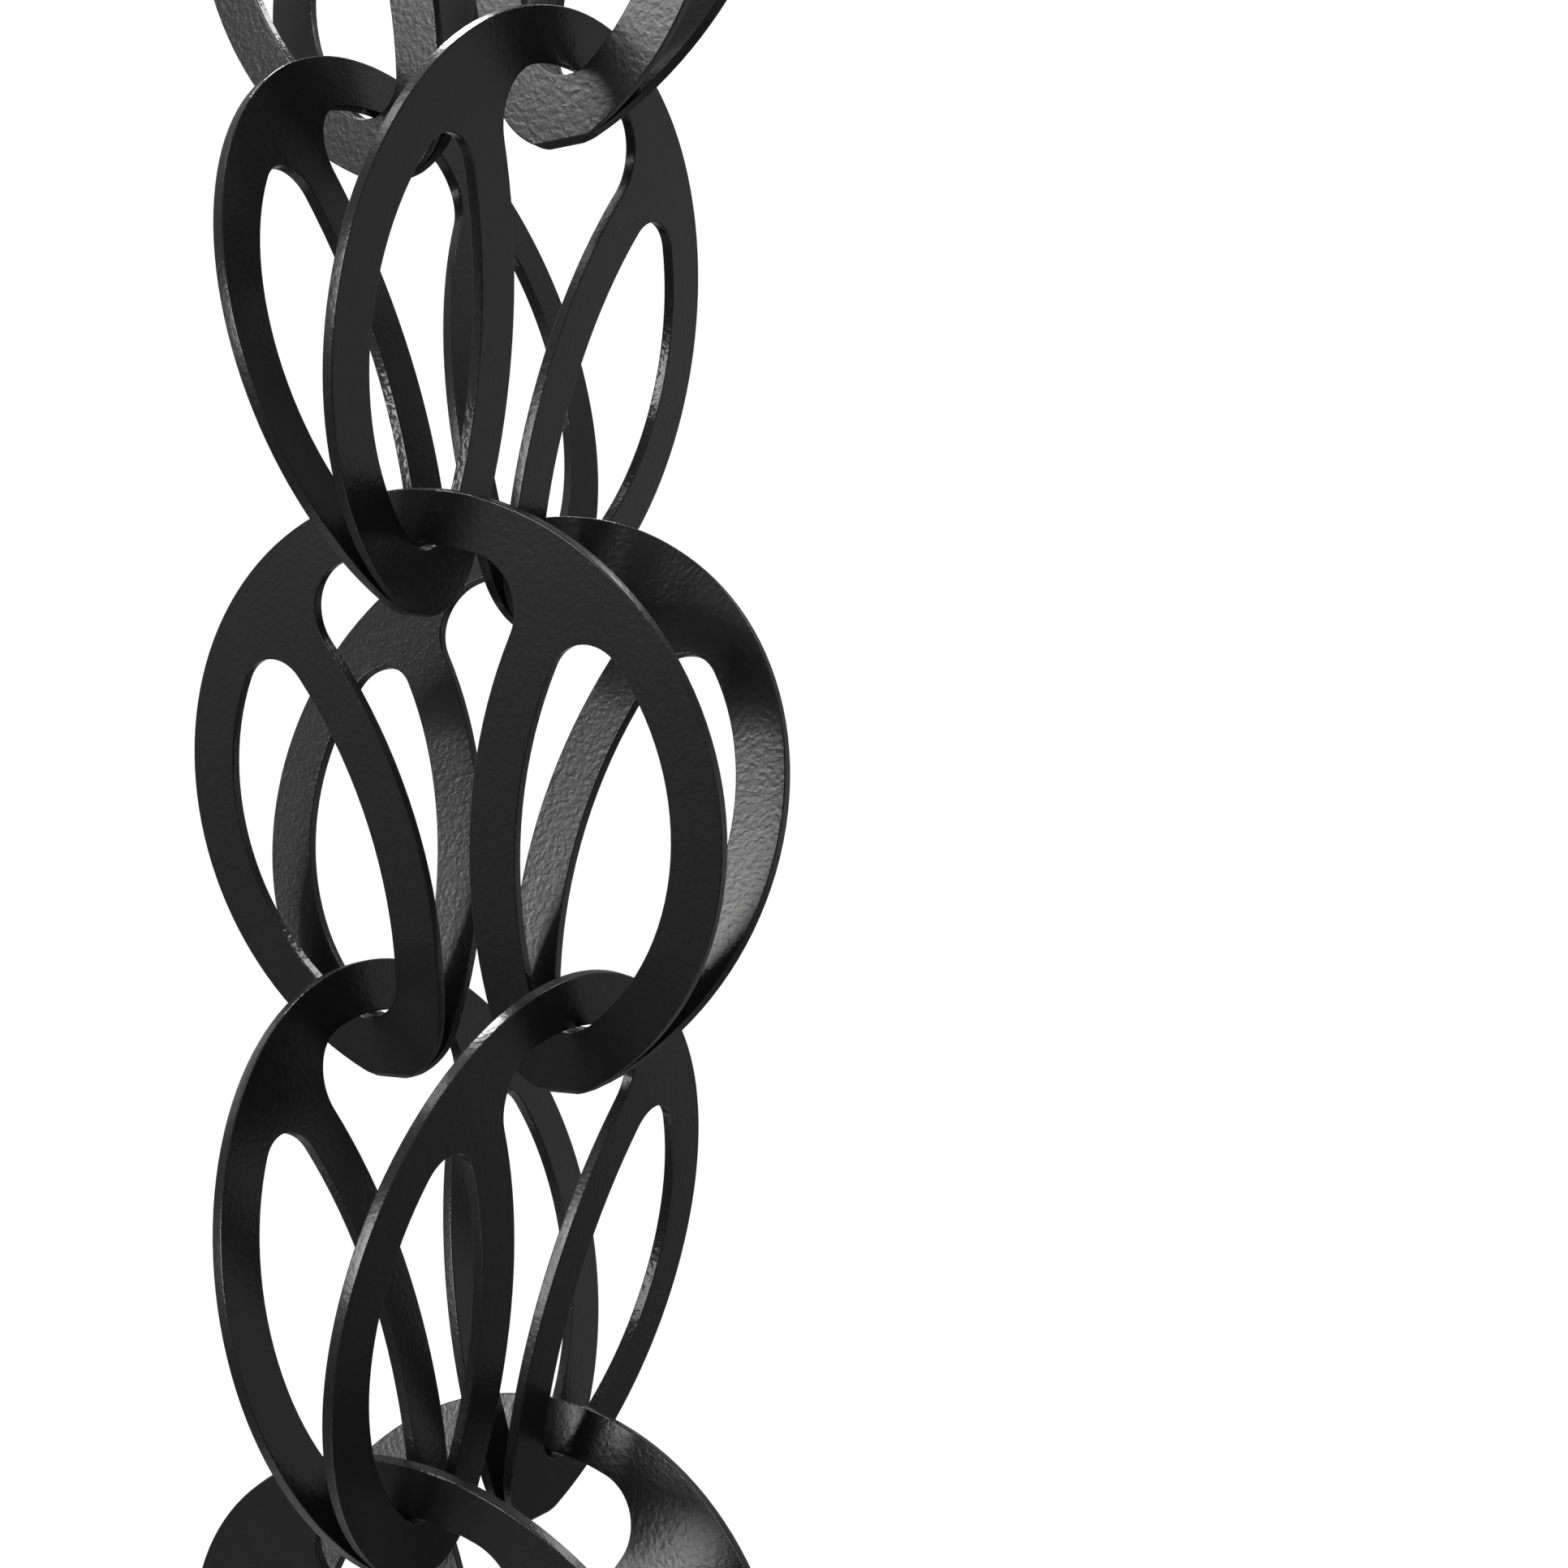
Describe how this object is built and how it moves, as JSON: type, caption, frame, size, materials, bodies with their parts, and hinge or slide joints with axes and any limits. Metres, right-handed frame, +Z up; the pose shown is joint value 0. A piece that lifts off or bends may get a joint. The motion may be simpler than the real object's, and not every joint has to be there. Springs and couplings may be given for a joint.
{
  "type": "rain chain",
  "caption": "Black rain chain of folded sheet links, each a V of round plates with teardrop holes and a keyhole slot, hung turn about in one another.",
  "frame": {"origin": "hanging point: inner top edge of the top link's two arches, on the chain's axis", "axes": "+Z up along the chain, which hangs below the origin; +X along the top link's fold"},
  "size_m": [0.08, 0.08, 0.3131],
  "materials": {
    "powder_coat": "satin black powder coat with a fine leathery grain"
  },
  "bodies": {
    "top_link": {"top_link": "powder_coat"},
    "upper_link": {"upper_link": "powder_coat"},
    "middle_link": {"middle_link": "powder_coat"},
    "lower_link": {"lower_link": "powder_coat"},
    "bottom_link": {"bottom_link": "powder_coat"}
  },
  "joints": [
    {"name": "upper_swing", "type": "hinge", "parent": "top_link", "child": "upper_link", "pos_m": [0, 0, -0.0745], "axis": [1, 0, 0], "range_deg": [-50, 50]},
    {"name": "middle_swing", "type": "hinge", "parent": "upper_link", "child": "middle_link", "pos_m": [0, 0, -0.13399], "axis": [0, 1, 0], "range_deg": [-50, 50]},
    {"name": "lower_swing", "type": "hinge", "parent": "middle_link", "child": "lower_link", "pos_m": [0, 0, -0.19349], "axis": [1, 0, 0], "range_deg": [-50, 50]},
    {"name": "bottom_swing", "type": "hinge", "parent": "lower_link", "child": "bottom_link", "pos_m": [0, 0, -0.25299], "axis": [0, 1, 0], "range_deg": [-50, 50]}
  ]
}
